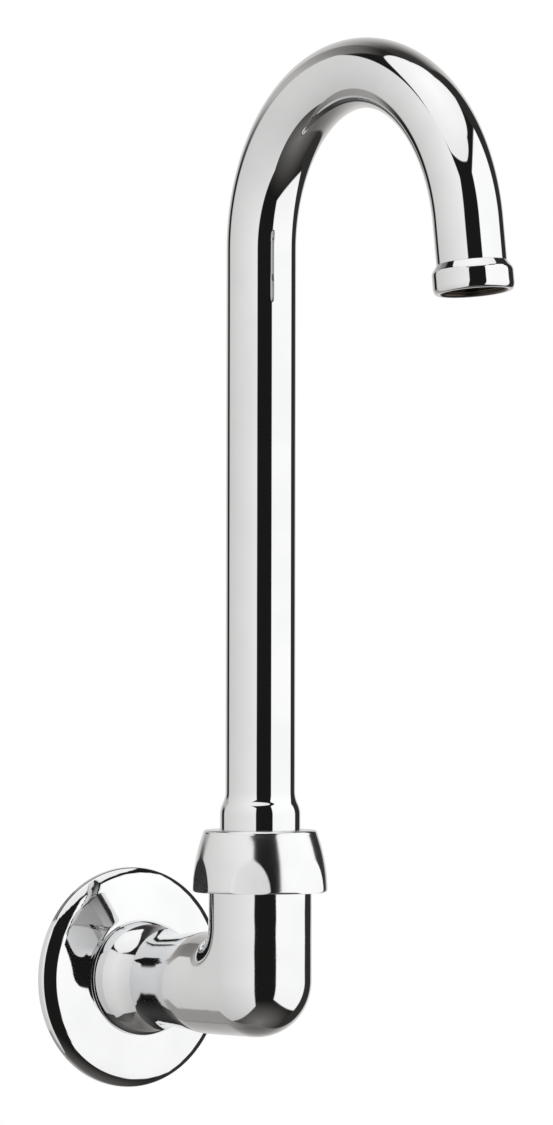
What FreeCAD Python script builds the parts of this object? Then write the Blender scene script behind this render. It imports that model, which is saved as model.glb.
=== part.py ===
"""Wall-mounted swing gooseneck spout: a cast elbow on a wall flange, and a bent tube that turns in the elbow.

Frame: millimetres, +Z up. The origin is on the axis of the pipe inlet, in the plane of the wall. +Y points
into the wall, so the spout reaches out along -Y. The riser, its nut and its swivel share one upright axis.
"""
import FreeCAD, Part
import math
import os
from FreeCAD import Placement, Rotation, Vector

# ---- Overall sizes -----------------------------------------------------------------------------------
WALL_TO_RISER = 58.7        # wall face to the riser's axis
REACH = 88.9                # riser axis to the other leg of the arch, 3 1/2 in centre to centre
ARCH_HEIGHT = 188.6         # inlet axis up to the centre of the arch
OUTLET_LEAN = 8.6           # degrees that the outlet leg still leans outwards where the bend stops
OUTLET_TAIL = 18.3          # straight run from the end of the bend to the outlet's lower face

# ---- Fits --------------------------------------------------------------------------------------------
RUNNING = 0.08              # radial clearance of a turning fit
SEATED = 0.03               # clearance of a ring or sleeve that sits tight
FACE_GAP = 0.05             # clearance between faces that slide, and round the O-rings
THREAD_GAP = 0.05           # radial clearance between nut and neck thread
PASS_GAP = 0.35             # clearance where a piece passes without touching

# ---- Tube --------------------------------------------------------------------------------------------
TUBE_RADIUS = 8.92
TUBE_WALL = 1.0
BASE_SWELL = 1.38           # how much wider the base is, that stands in the nut
BASE_VISIBLE = 3.9          # straight part of the base that shows above the nut
FLARE_LENGTH = 6.0          # S-shaped run from the base to the tube

# ---- Outlet collar -----------------------------------------------------------------------------------
COLLAR_STEP = 1.38          # how much wider the collar is than the tube
COLLAR_LENGTH = 7.4
COLLAR_CONE = 34.0          # degrees that the collar's coned top opens from the axis
COLLAR_ROUND = 2.0          # round from the cone to the collar's side
COLLAR_EDGE = 0.7           # round on its lower edge
COLLAR_SLEEVE = 6.0         # sleeve that is brazed inside the tube
OUTLET_WALL = 2.0           # collar's wall outside its thread
OUTLET_THREAD_LENGTH = 6.0
OUTLET_CHAMFER = 0.4

# ---- Elbow casting -----------------------------------------------------------------------------------
CORNER_RADIUS = 1.4         # centreline radius of the elbow's outer corner
THROAT_RADIUS = 1.9         # round in the inside corner between the two legs
WAIST_RADIUS = 11.85
WAIST_DISTANCE = 18.8       # wall face to the narrowest place
TAPER_ROUND = 40.0          # round at both ends of the taper from the waist to the leg
LEVEL_STRAIGHT = 4.75       # even run of the level leg beside the bend
HUB_LAND = 0.3              # straight part of the hub beside the flange
HUB_STEP = 1.2              # hub's shoulder that the flange is held against
HUB_EDGE = 0.3
SPIGOT_WALL = 3.5           # wall round the inlet thread, where the casting passes through the flange
WATERWAY_RADIUS = 8.0
WATERWAY_BEND = 10.0        # centreline radius of the cored bend
INLET_THREAD_RADIUS = 10.4  # 1/2 in pipe thread, at its major radius
INLET_THREAD_LENGTH = 14.0
SOCKET_LIFT = 2.5           # top of the cored bend up to the floor of the swivel socket
NECK_WALL = 4.02            # wall of the threaded neck round the socket
NECK_RELIEF_DEPTH = 0.6
NECK_RELIEF_LENGTH = 1.2
NECK_CHAMFER = 0.6
LEG_STEP = 0.55             # how much wider the smooth leg is than the neck
LEG_COVER = 1.4             # how far the smooth leg goes up into the nut

# ---- Wall flange -------------------------------------------------------------------------------------
FLANGE_RADIUS = 28.575      # 2 1/4 in across
FLANGE_RIM = 1.4            # straight side at the wall
FLANGE_EDGE = 1.0           # round where the side turns in
EDGE_SLOPE = 42.0           # degrees from the wall's plane where that round stops
FLANGE_SHOULDER = 8.0       # wider round from there to the cone
FLANGE_LAND = 1.8           # from the hole out to where the cone would meet the flat land round it
LAND_ROUND = 8.0            # round between the cone and the land
FLANGE_HEIGHT = 6.1         # wall face to the land at the hub
FLANGE_SHEET = 1.2
FLANGE_HOLE_CLEARANCE = 0.2
GASKET_THICKNESS = 1.2
GASKET_WIDTH = 5.0
GRIP_RING_SECTION = 1.3     # radius of the round section of the ring behind the flange

# ---- Swivel, from the foot of the stem up ------------------------------------------------------------
FOOT_GAP = 1.95             # socket floor to the stem's foot
FOOT_LIP = 2.65             # stem's foot to the bearing's groove
BEARING_HEIGHT = 3.0
BEARING_THICKNESS = 1.0
BEARING_PITCH = 3.8         # middle of the bearing to the middle of the lower O-ring
O_RING_PITCH = 4.0
O_RING_COVER = 4.6          # middle of the upper O-ring to the elbow's upper face
O_RING_SECTION = 0.89       # radius of the ring's round section
O_RING_GROOVE_WIDTH = 2.3
STEM_LEDGE = 1.7            # how far the stem's shoulder stands out over its spigot
STEM_WALL = 3.7             # spigot's wall round its bore
STEM_CHAMFER = 0.5
SHOULDER_HEIGHT = 4.75      # stem's shoulder to the tube's lower end
WASHER_THICKNESS = 0.8      # thrust washer under the stem's shoulder
WASHER_MARGIN = 0.8         # washer's edge to the neck's edge
RING_THICKNESS = 1.2        # split ring
RING_GROOVE_DEPTH = 1.1
RING_GAP = 3.0              # opening of the split ring
RING_DROP = 2.0             # groove's middle below the tube's lower end
RING_MARGIN = 0.65          # split ring's edge to the nut's thread
FRICTION_WIDTH = 1.7        # friction washer, measured along the radius

# ---- Coupling nut ------------------------------------------------------------------------------------
NUT_REACH = 7.0             # how far the nut comes down over the elbow
NUT_LIFT = 0.6              # tube's lower end to the underside of the nut's inturned top
NUT_SHOULDER = 2.8          # thickness of the inturned top
NUT_WALL = 4.55             # wall outside the thread, at the nut's lower edge
NUT_SIDE_RADIUS = 45.0      # the side is an arc that is widest at the bottom
NUT_FLATS = 6
NUT_FLAT_DEPTH = 0.85       # how deep each flat is cut at the lower edge
NUT_TURN = 47.6             # degrees from +X to the first flat, where the thread pulls up tight
NUT_EDGE = 0.8
NUT_SKIRT = 2.2             # plain run below the nut's thread

# ---- Flow control in the foot of the stem ------------------------------------------------------------
CONTROL_LEDGE = 1.0         # ledge in the stem that the control sits against
CONTROL_LENGTH = 6.0
CONTROL_WALL = 1.1
CONTROL_FLOOR = 1.2
CONTROL_PEG_RADIUS = 1.95
CONTROL_PORTS = 6
CONTROL_PORT_RADIUS = 0.75
CONTROL_RING_SECTION = 0.9
SCREEN_THICKNESS = 0.5
SCREEN_HOLE_RADIUS = 0.45
SCREEN_HOLE_PITCH = 1.5

# ---- Places and radii worked out from the sizes above ------------------------------------------------
RISER = Vector(0, -WALL_TO_RISER, 0)
UP = Vector(0, 0, 1)
OUT = Vector(0, -1, 0)
ACROSS = Vector(1, 0, 0)
ARCH_RADIUS = REACH / 2
ARCH_CENTRE = Vector(0, -WALL_TO_RISER - ARCH_RADIUS, ARCH_HEIGHT)
BEND_ANGLE = 180 - OUTLET_LEAN
TUBE_BORE = TUBE_RADIUS - TUBE_WALL
BASE_RADIUS = TUBE_RADIUS + BASE_SWELL
BASE_BORE = BASE_RADIUS - TUBE_WALL
COLLAR_RADIUS = TUBE_RADIUS + COLLAR_STEP
OUTLET_THREAD_RADIUS = COLLAR_RADIUS - OUTLET_WALL
STEM_RADIUS = BASE_RADIUS - STEM_LEDGE
STEM_BORE_RADIUS = STEM_RADIUS - STEM_WALL
SOCKET_RADIUS = STEM_RADIUS + RUNNING
NECK_THREAD_RADIUS = SOCKET_RADIUS + NECK_WALL
LEG_RADIUS = NECK_THREAD_RADIUS + LEG_STEP
ELBOW_BEND = LEG_RADIUS + THROAT_RADIUS
SPIGOT_RADIUS = INLET_THREAD_RADIUS + SPIGOT_WALL
HUB_RADIUS = SPIGOT_RADIUS + HUB_STEP
NUT_THREAD_RADIUS = NECK_THREAD_RADIUS + THREAD_GAP
NUT_RADIUS = NUT_THREAD_RADIUS + NUT_WALL
NUT_HOLE = BASE_RADIUS + PASS_GAP
O_RING_CENTRE = SOCKET_RADIUS - FACE_GAP - O_RING_SECTION
O_RING_GROOVE = O_RING_CENTRE - O_RING_SECTION - SEATED
BEARING_OUTER = SOCKET_RADIUS - RUNNING / 2
CONTROL_RADIUS = STEM_BORE_RADIUS + CONTROL_LEDGE
SOCKET_FLOOR = WATERWAY_BEND + SOCKET_LIFT
STEM_FOOT = SOCKET_FLOOR + FOOT_GAP
BEARING_MIDDLE = STEM_FOOT + FOOT_LIP + BEARING_HEIGHT / 2
LOWER_O_RING = BEARING_MIDDLE + BEARING_PITCH
UPPER_O_RING = LOWER_O_RING + O_RING_PITCH
ELBOW_TOP = UPPER_O_RING + O_RING_COVER
STEM_SHOULDER = ELBOW_TOP + WASHER_THICKNESS + FACE_GAP
TUBE_SEAT = STEM_SHOULDER + SHOULDER_HEIGHT
RING_MIDDLE = TUBE_SEAT - RING_DROP
RING_TOP = RING_MIDDLE + RING_THICKNESS / 2
NUT_BOTTOM = ELBOW_TOP - NUT_REACH
NUT_UNDERSIDE = TUBE_SEAT + NUT_LIFT
NUT_TOP = NUT_UNDERSIDE + NUT_SHOULDER
LEG_TOP = NUT_BOTTOM + LEG_COVER
FLARE_START = NUT_TOP + BASE_VISIBLE
FLARE_END = FLARE_START + FLARE_LENGTH


def line(a, b):
    """Straight edge between two profile points given as (radius, height)."""
    return Part.makeLine(Vector(a[0], 0, a[1]), Vector(b[0], 0, b[1]))


def arc(a, middle, b):
    """Arc edge through three profile points."""
    ends = [Vector(p[0], 0, p[1]) for p in (a, middle, b)]
    return Part.Arc(*ends).toShape()


def s_curve(a, b):
    """Two equal arcs from a to b that leave and arrive parallel to the axis."""
    (r0, h0), (r1, h1) = a, b
    middle = ((r0 + r1) / 2, (h0 + h1) / 2)
    rise, run = (r1 - r0) / 2, (h1 - h0) / 2
    radius = (rise * rise + run * run) / (2 * abs(rise))
    half = math.asin(abs(run) / radius) / 2
    sag = radius * (1 - math.cos(half))
    along = radius * math.sin(half) * math.copysign(1, run)
    side = math.copysign(sag, rise)
    first = arc(a, (r0 + side, h0 + along), middle)
    second = arc(middle, (r1 - side, h1 - along), b)
    return [first, second]


def eased_taper(a, b, radius):
    """Arc, straight line and arc from a to b, parallel to the axis at both ends, widening from a to b."""
    (r0, h0), (r1, h1) = a, b
    run, rise = h1 - h0, r1 - r0
    radius = min(radius, 0.9 * (run * run + rise * rise) / (4 * rise))
    slope = math.asin(2 * radius / math.hypot(run, 2 * radius - rise)) - math.atan2(2 * radius - rise, run)
    first = [(r0 + radius * (1 - math.cos(s)), h0 + radius * math.sin(s)) for s in (slope / 2, slope)]
    last = [(r1 - radius * (1 - math.cos(s)), h1 - radius * math.sin(s)) for s in (slope, slope / 2)]
    return [arc(a, first[0], first[1]), line(first[1], last[0]), arc(last[0], last[1], b)]


def quarter(a, b, first_along_axis):
    """Quarter-round edge from a to b. It leaves a along the axis, or else along the radius."""
    (r0, h0), (r1, h1) = a, b
    k = math.sqrt(0.5)
    if first_along_axis:
        middle = (r0 + (r1 - r0) * (1 - k), h0 + (h1 - h0) * k)
    else:
        middle = (r0 + (r1 - r0) * k, h0 + (h1 - h0) * (1 - k))
    return arc(a, middle, b)


def chain(points):
    """Straight edges through a list of profile points."""
    return [line(a, b) for a, b in zip(points, points[1:])]


def turn(edges):
    """Closes the profile edges and turns them about the Z axis into one solid."""
    face = Part.Face(Part.Wire(Part.__sortEdges__(edges)))
    return face.revolve(Vector(0, 0, 0), UP, 360)


def turned(points):
    """Solid turned from a closed polygon of (radius, height) points."""
    return turn(chain(points + points[:1]))


def rod(radius, low, high):
    """Upright cylinder on the Z axis between two heights."""
    return Part.makeCylinder(radius, high - low, Vector(0, 0, low), UP)


def ring(inner, outer, low, high):
    """Flat washer on the Z axis."""
    return rod(outer, low, high).cut(rod(inner, low, high))


def on_riser(shape):
    """Moves a shape built on the Z axis to the riser's axis."""
    return moved(shape, Placement(RISER, Rotation()))


def on_inlet(shape):
    """Lays a shape built on the Z axis along the inlet axis, with its +Z towards the room."""
    return moved(shape, Placement(Vector(0, 0, 0), Rotation(UP, OUT)))


def at_outlet(shape):
    """Places a shape built on the Z axis: its origin at the tube's end, its +Z running out of the spout."""
    lean = math.radians(OUTLET_LEAN)
    bend_end = ARCH_CENTRE + Vector(0, -math.cos(lean), math.sin(lean)) * ARCH_RADIUS
    direction = Vector(0, -math.sin(lean), -math.cos(lean))
    tube_end = bend_end + direction * (OUTLET_TAIL - COLLAR_LENGTH)
    return moved(shape, Placement(tube_end, Rotation(UP, direction)))


def moved(shape, placement):
    """Copy of the shape with the placement written into its geometry."""
    return shape.transformed(placement.toMatrix())


def elbow_outside():
    """Casting's outer skin: upright leg and threaded neck, rounded bend, waisted leg, hub and spigot."""
    relief = NECK_THREAD_RADIUS - NECK_RELIEF_DEPTH
    relief_top = LEG_TOP + NECK_RELIEF_LENGTH
    upright = turned([
        (0, ELBOW_BEND), (LEG_RADIUS, ELBOW_BEND), (LEG_RADIUS, LEG_TOP),
        (relief, LEG_TOP), (relief, relief_top),
        (NECK_THREAD_RADIUS, relief_top), (NECK_THREAD_RADIUS, ELBOW_TOP - NECK_CHAMFER),
        (NECK_THREAD_RADIUS - NECK_CHAMFER, ELBOW_TOP), (0, ELBOW_TOP),
    ])
    root = WALL_TO_RISER - ELBOW_BEND
    taper = root - LEVEL_STRAIGHT
    edges = chain([(0, root), (LEG_RADIUS, root), (LEG_RADIUS, taper)])
    hub_front = FLANGE_HEIGHT + HUB_EDGE + HUB_LAND
    edges += eased_taper((WAIST_RADIUS, WAIST_DISTANCE), (LEG_RADIUS, taper), TAPER_ROUND)
    edges += s_curve((WAIST_RADIUS, WAIST_DISTANCE), (HUB_RADIUS, hub_front))
    edges += chain([
        (HUB_RADIUS, hub_front), (HUB_RADIUS, FLANGE_HEIGHT + HUB_EDGE),
        (HUB_RADIUS - HUB_EDGE, FLANGE_HEIGHT), (SPIGOT_RADIUS, FLANGE_HEIGHT), (SPIGOT_RADIUS, 0),
        (0, 0), (0, root),
    ])
    level = on_inlet(turn(edges))
    return on_riser(upright).fuse([level] + elbow_bend())


def half_disc(centre, outward):
    """Half of the leg's round section, on the given side of a centre that lies in the plane x = 0."""
    left, right = centre - ACROSS * LEG_RADIUS, centre + ACROSS * LEG_RADIUS
    far = centre + outward * LEG_RADIUS
    wire = Part.Wire([Part.Arc(left, far, right).toShape(), Part.makeLine(right, left)])
    return Part.Face(wire)


def elbow_bend():
    """Five solids that meet face to face: corner, two outer half legs, flat cheek and throat."""
    top = RISER + UP * ELBOW_BEND
    low = RISER + UP * CORNER_RADIUS
    near = RISER - OUT * CORNER_RADIUS
    back = RISER - OUT * ELBOW_BEND
    outer_upright = half_disc(top, OUT).extrude(low - top)
    corner = half_disc(low, OUT).revolve(low - OUT * CORNER_RADIUS, ACROSS, 90)
    outer_level = half_disc(near, UP * -1).extrude(back - near)
    throat = half_disc(top, OUT * -1).revolve(top - OUT * ELBOW_BEND, ACROSS, 90)
    k = 1 - math.sqrt(0.5)
    cheek_edges = [
        Part.makeLine(top, low),
        Part.Arc(low, RISER + (UP - OUT) * CORNER_RADIUS * k, near).toShape(),
        Part.makeLine(near, back),
        Part.Arc(back, RISER + (UP - OUT) * ELBOW_BEND * k, top).toShape(),
    ]
    cheek = Part.Face(Part.Wire(cheek_edges))
    cheek.translate(ACROSS * -LEG_RADIUS)
    return [outer_upright, corner, outer_level, throat, cheek.extrude(ACROSS * 2 * LEG_RADIUS)]


def elbow_waterway():
    """Everything bored or cored out of the casting."""
    socket = rod(SOCKET_RADIUS, SOCKET_FLOOR, ELBOW_TOP + 1)
    upright = rod(WATERWAY_RADIUS, WATERWAY_BEND, SOCKET_FLOOR + 1)
    level = rod(WATERWAY_RADIUS, 0, WALL_TO_RISER - WATERWAY_BEND)
    cone_end = INLET_THREAD_LENGTH + INLET_THREAD_RADIUS - WATERWAY_RADIUS
    inlet = turned([
        (0, -1), (INLET_THREAD_RADIUS, -1), (INLET_THREAD_RADIUS, INLET_THREAD_LENGTH),
        (WATERWAY_RADIUS, cone_end), (0, cone_end),
    ])
    start = RISER + UP * WATERWAY_BEND
    section = Part.Face(Part.Wire(Part.makeCircle(WATERWAY_RADIUS, start, UP)))
    bend = section.revolve(start - OUT * WATERWAY_BEND, ACROSS, 90)
    return on_riser(socket.fuse(upright)).fuse([bend, on_inlet(level), on_inlet(inlet)])


def elbow_body():
    """Cast brass elbow, from the wall to the threaded neck."""
    return elbow_outside().cut(elbow_waterway()).removeSplitter()


def wall_flange():
    """Spun escutcheon: straight rim, rounded shoulder and cone, with a flat land round the elbow's spigot."""
    hole = SPIGOT_RADIUS + FLANGE_HOLE_CLEARANCE
    return on_inlet(turn(flange_section(hole)))


def facing(centre, radius, slope):
    """Point of a round, as (radius, height), where its surface slopes by an angle from the wall's plane."""
    return centre[0] + radius * math.sin(slope), centre[1] + radius * math.cos(slope)


def round_edge(centre, radius, start, stop):
    """Arc edge of a round between two slopes."""
    return arc(*[facing(centre, radius, s) for s in (start, (start + stop) / 2, stop)])


def flange_section(hole):
    """Section of the flange as a sheet of even thickness, as (radius, distance from the wall)."""
    edge_slope = math.radians(EDGE_SLOPE)
    edge = (FLANGE_RADIUS - FLANGE_EDGE, FLANGE_RIM)
    shoulder = facing(edge, FLANGE_EDGE - FLANGE_SHOULDER, edge_slope)
    meeting = hole + FLANGE_LAND
    run, rise = meeting - shoulder[0], FLANGE_HEIGHT - shoulder[1]
    cone = math.atan2(run, rise) + math.acos(FLANGE_SHOULDER / math.hypot(run, rise))
    land = (meeting - LAND_ROUND * math.tan(cone / 2), FLANGE_HEIGHT - LAND_ROUND)
    inner_rim, inner_shoulder = FLANGE_RADIUS - FLANGE_SHEET, FLANGE_SHOULDER - FLANGE_SHEET
    inner_slope = math.asin((inner_rim - shoulder[0]) / inner_shoulder)
    rim_top, under = (FLANGE_RADIUS, FLANGE_RIM), FLANGE_HEIGHT - FLANGE_SHEET
    edges = chain([(inner_rim, 0), (FLANGE_RADIUS, 0), rim_top])
    edges.append(round_edge(edge, FLANGE_EDGE, math.pi / 2, edge_slope))
    edges.append(round_edge(shoulder, FLANGE_SHOULDER, edge_slope, cone))
    edges.append(line(facing(shoulder, FLANGE_SHOULDER, cone), facing(land, LAND_ROUND, cone)))
    edges.append(round_edge(land, LAND_ROUND, cone, 0))
    edges += chain([(land[0], FLANGE_HEIGHT), (hole, FLANGE_HEIGHT), (hole, under), (land[0], under)])
    edges.append(round_edge(land, LAND_ROUND - FLANGE_SHEET, 0, cone))
    edges.append(line(facing(land, LAND_ROUND - FLANGE_SHEET, cone), facing(shoulder, inner_shoulder, cone)))
    edges.append(round_edge(shoulder, inner_shoulder, cone, inner_slope))
    edges.append(line(facing(shoulder, inner_shoulder, inner_slope), (inner_rim, 0)))
    return edges


def flange_gasket():
    """Flat rubber ring in the flange's rim, flush with the wall."""
    outer = FLANGE_RADIUS - FLANGE_SHEET - SEATED
    return on_inlet(ring(outer - GASKET_WIDTH, outer, 0, GASKET_THICKNESS))


def flange_grip_ring():
    """Rubber ring stretched on the spigot behind the flange, which keeps the flange up against the hub."""
    height = FLANGE_HEIGHT - FLANGE_SHEET - GRIP_RING_SECTION - 2 * FACE_GAP
    radius = SPIGOT_RADIUS + GRIP_RING_SECTION + SEATED
    return on_inlet(Part.makeTorus(radius, GRIP_RING_SECTION, Vector(0, 0, height), UP))


def nut_side(height):
    """Outer radius of the nut at a height."""
    rise = height - NUT_BOTTOM
    return NUT_RADIUS - NUT_SIDE_RADIUS + math.sqrt(NUT_SIDE_RADIUS ** 2 - rise ** 2)


def coupling_nut():
    """Domed union nut: six flats at its foot, an inturned shoulder at its top and a thread inside."""
    low, high = NUT_BOTTOM + NUT_EDGE, NUT_TOP - NUT_EDGE
    skirt_top = NUT_BOTTOM + NUT_SKIRT
    skirt = LEG_RADIUS + PASS_GAP
    foot = (NUT_RADIUS - NUT_EDGE, NUT_BOTTOM)
    top = (nut_side(high) - NUT_EDGE, NUT_TOP)
    edges = [quarter(foot, (nut_side(low), low), False)]
    middle = (low + high) / 2
    edges.append(arc((nut_side(low), low), (nut_side(middle), middle), (nut_side(high), high)))
    edges.append(quarter((nut_side(high), high), top, True))
    edges += chain([
        top, (NUT_HOLE, NUT_TOP), (NUT_HOLE, NUT_UNDERSIDE), (NUT_THREAD_RADIUS, NUT_UNDERSIDE),
        (NUT_THREAD_RADIUS, skirt_top), (skirt, skirt_top), (skirt, NUT_BOTTOM), foot,
    ])
    body = turn(edges)
    corner = Vector(NUT_RADIUS - NUT_FLAT_DEPTH, -NUT_RADIUS, NUT_BOTTOM - 1)
    for k in range(NUT_FLATS):
        block = Part.makeBox(NUT_RADIUS, 2 * NUT_RADIUS, NUT_TOP - NUT_BOTTOM + 2, corner)
        block.rotate(Vector(0, 0, 0), UP, NUT_TURN + 360 / NUT_FLATS * k)
        body = body.cut(block)
    return on_riser(body)


def thrust_washer():
    """Slippery washer that the stem's shoulder stands on."""
    outer = NECK_THREAD_RADIUS - WASHER_MARGIN
    return on_riser(ring(SOCKET_RADIUS + PASS_GAP, outer, ELBOW_TOP, ELBOW_TOP + WASHER_THICKNESS))


def friction_washer():
    """Washer between the split ring and the nut's shoulder, which sets how stiffly the spout turns."""
    outer = NUT_THREAD_RADIUS - PASS_GAP
    return on_riser(ring(outer - FRICTION_WIDTH, outer, RING_TOP + FACE_GAP, NUT_UNDERSIDE))


def split_ring():
    """Sprung ring in the stem's groove that the nut pulls down on."""
    inner = BASE_RADIUS - RING_GROOVE_DEPTH + SEATED
    outer = NUT_THREAD_RADIUS - RING_MARGIN
    low = RING_MIDDLE - RING_THICKNESS / 2
    slot = Part.makeBox(outer, RING_GAP, RING_THICKNESS + 2, Vector(0, -RING_GAP / 2, low - 1))
    return on_riser(ring(inner, outer, low, RING_TOP).cut(slot))


def swivel_stem():
    """Turned brass stem: grooved spigot, shoulder, split-ring groove and a sleeve inside the tube."""
    sleeve = BASE_BORE - SEATED
    bore = sleeve - TUBE_WALL
    body = turned([
        (STEM_BORE_RADIUS, STEM_FOOT), (STEM_RADIUS - STEM_CHAMFER, STEM_FOOT),
        (STEM_RADIUS, STEM_FOOT + STEM_CHAMFER), (STEM_RADIUS, STEM_SHOULDER), (BASE_RADIUS, STEM_SHOULDER),
        (BASE_RADIUS, TUBE_SEAT), (sleeve, TUBE_SEAT), (sleeve, FLARE_START), (bore, FLARE_START),
        (bore, TUBE_SEAT), (STEM_BORE_RADIUS, STEM_SHOULDER),
    ])
    ring_groove = groove(BASE_RADIUS - RING_GROOVE_DEPTH, RING_MIDDLE, RING_THICKNESS + 2 * SEATED)
    bearing_bottom = BEARING_OUTER - BEARING_THICKNESS - SEATED
    cuts = [ring_groove, groove(bearing_bottom, BEARING_MIDDLE, BEARING_HEIGHT + 2 * SEATED)]
    cuts += [groove(O_RING_GROOVE, middle, O_RING_GROOVE_WIDTH) for middle in (LOWER_O_RING, UPPER_O_RING)]
    control_top = STEM_FOOT + CONTROL_LENGTH + SCREEN_THICKNESS + 2 * SEATED
    cuts.append(rod(CONTROL_RADIUS + SEATED, STEM_FOOT - 1, control_top))
    return on_riser(body.cut(cuts))


def groove(bottom_radius, middle, width):
    """What is turned away for a square groove round the stem."""
    return ring(bottom_radius, BASE_RADIUS + 1, middle - width / 2, middle + width / 2)


def o_ring(height):
    """Rubber ring in a groove of the stem, at a height of its middle."""
    return on_riser(Part.makeTorus(O_RING_CENTRE, O_RING_SECTION, Vector(0, 0, height), UP))


def stem_bearing():
    """Plastic guide ring that keeps the foot of the stem central."""
    low = BEARING_MIDDLE - BEARING_HEIGHT / 2
    return on_riser(ring(BEARING_OUTER - BEARING_THICKNESS, BEARING_OUTER, low, low + BEARING_HEIGHT))


def flow_control_housing():
    """Plastic cup pressed into the stem's foot, with a ring of ports through its floor."""
    low = STEM_FOOT
    cup = rod(CONTROL_RADIUS, low, low + CONTROL_LENGTH)
    cup = cup.cut(rod(CONTROL_RADIUS - CONTROL_WALL, low + CONTROL_FLOOR, low + CONTROL_LENGTH + 1))
    cup = cup.fuse(rod(CONTROL_PEG_RADIUS, low, low + CONTROL_LENGTH - CONTROL_FLOOR))
    pitch = (CONTROL_RADIUS - CONTROL_WALL + CONTROL_PEG_RADIUS) / 2
    for k in range(CONTROL_PORTS):
        angle = 2 * math.pi * k / CONTROL_PORTS
        port = rod(CONTROL_PORT_RADIUS, low - 1, low + CONTROL_FLOOR + 1)
        port.translate(Vector(pitch * math.cos(angle), pitch * math.sin(angle), 0))
        cup = cup.cut(port)
    return on_riser(cup)


def flow_control_ring():
    """Elastic ring round the housing's peg, which flattens as pressure rises and holds the flow steady."""
    centre = Vector(0, 0, STEM_FOOT + CONTROL_FLOOR + CONTROL_RING_SECTION + SEATED)
    radius = CONTROL_PEG_RADIUS + CONTROL_RING_SECTION + SEATED
    return on_riser(Part.makeTorus(radius, CONTROL_RING_SECTION, centre, UP))


def flow_screen():
    """Perforated steel disc on top of the flow-control housing."""
    low = STEM_FOOT + CONTROL_LENGTH + SEATED
    steps = int(STEM_BORE_RADIUS / SCREEN_HOLE_PITCH)
    grid = [SCREEN_HOLE_PITCH * i for i in range(-steps, steps + 1)]
    holes = []
    for x, y in [(x, y) for x in grid for y in grid]:
        if math.hypot(x, y) + SCREEN_HOLE_RADIUS < STEM_BORE_RADIUS:
            hole = rod(SCREEN_HOLE_RADIUS, low - 1, low + SCREEN_THICKNESS + 1)
            hole.translate(Vector(x, y, 0))
            holes.append(hole)
    return on_riser(rod(CONTROL_RADIUS, low, low + SCREEN_THICKNESS).cut(holes))


def bent_rod(base_radius, radius, tail_end):
    """Solid bar along the spout's path: base, flare, riser, arch and tail."""
    edges = chain([(0, TUBE_SEAT), (base_radius, TUBE_SEAT), (base_radius, FLARE_START)])
    edges += s_curve((base_radius, FLARE_START), (radius, FLARE_END))
    edges += chain([(radius, FLARE_END), (radius, ARCH_HEIGHT), (0, ARCH_HEIGHT), (0, TUBE_SEAT)])
    riser = on_riser(turn(edges))
    section = Part.Face(Part.Wire(Part.makeCircle(radius, RISER + UP * ARCH_HEIGHT, UP)))
    arch = section.revolve(ARCH_CENTRE, ACROSS, BEND_ANGLE)
    start = COLLAR_LENGTH - OUTLET_TAIL
    tail = at_outlet(rod(radius, start, tail_end))
    return riser.fuse([arch, tail])


def spout_tube():
    """Bent brass tube with a widened base."""
    outside = bent_rod(BASE_RADIUS, TUBE_RADIUS, 0)
    inside = bent_rod(BASE_BORE, TUBE_BORE, 1)
    return outside.cut(inside)


def outlet_collar():
    """Turned collar at the tube's end: a sleeve brazed inside the tube and a threaded mouth."""
    sleeve = TUBE_BORE - SEATED
    bore = sleeve - TUBE_WALL
    thread_start = COLLAR_LENGTH - OUTLET_THREAD_LENGTH
    opening = math.radians(COLLAR_CONE)
    corner = COLLAR_STEP / math.tan(opening)
    reach = COLLAR_ROUND * math.tan(opening / 2)
    cone_end = (COLLAR_RADIUS - reach * math.sin(opening), corner - reach * math.cos(opening))
    shoulder = (COLLAR_RADIUS, corner + reach)
    side = (COLLAR_RADIUS - COLLAR_ROUND * (1 - math.cos(opening / 2)),
            shoulder[1] - COLLAR_ROUND * math.sin(opening / 2))
    edge = (COLLAR_RADIUS, COLLAR_LENGTH - COLLAR_EDGE)
    lip = (COLLAR_RADIUS - COLLAR_EDGE, COLLAR_LENGTH)
    edges = chain([(bore, -COLLAR_SLEEVE), (sleeve, -COLLAR_SLEEVE), (sleeve, 0), (TUBE_RADIUS, 0), cone_end])
    edges.append(arc(cone_end, side, shoulder))
    edges.append(line(shoulder, edge))
    edges.append(quarter(edge, lip, True))
    edges += chain([
        lip, (OUTLET_THREAD_RADIUS + OUTLET_CHAMFER, COLLAR_LENGTH),
        (OUTLET_THREAD_RADIUS, COLLAR_LENGTH - OUTLET_CHAMFER), (OUTLET_THREAD_RADIUS, thread_start),
        (bore, thread_start), (bore, -COLLAR_SLEEVE),
    ])
    return at_outlet(turn(edges))


PIECES = {
    "wall_flange": wall_flange,
    "flange_gasket": flange_gasket,
    "flange_grip_ring": flange_grip_ring,
    "elbow_body": elbow_body,
    "coupling_nut": coupling_nut,
    "thrust_washer": thrust_washer,
    "friction_washer": friction_washer,
    "split_ring": split_ring,
    "swivel_stem": swivel_stem,
    "upper_o_ring": lambda: o_ring(UPPER_O_RING),
    "lower_o_ring": lambda: o_ring(LOWER_O_RING),
    "stem_bearing": stem_bearing,
    "flow_control_housing": flow_control_housing,
    "flow_control_ring": flow_control_ring,
    "flow_screen": flow_screen,
    "spout_tube": spout_tube,
    "outlet_collar": outlet_collar,
}

os.makedirs("parts", exist_ok=True)
for name, build in PIECES.items():
    shape = build()
    solids = shape.Solids
    if not solids or not all(s.isValid() and s.Volume > 0 for s in solids):
        raise ValueError(name + " is not a valid solid")
    body = solids[0] if len(solids) == 1 else Part.makeCompound(solids)
    body.exportStep("parts/" + name + ".step")
    print(name, len(solids), "solid", round(sum(s.Volume for s in solids), 1), "mm3")
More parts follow.
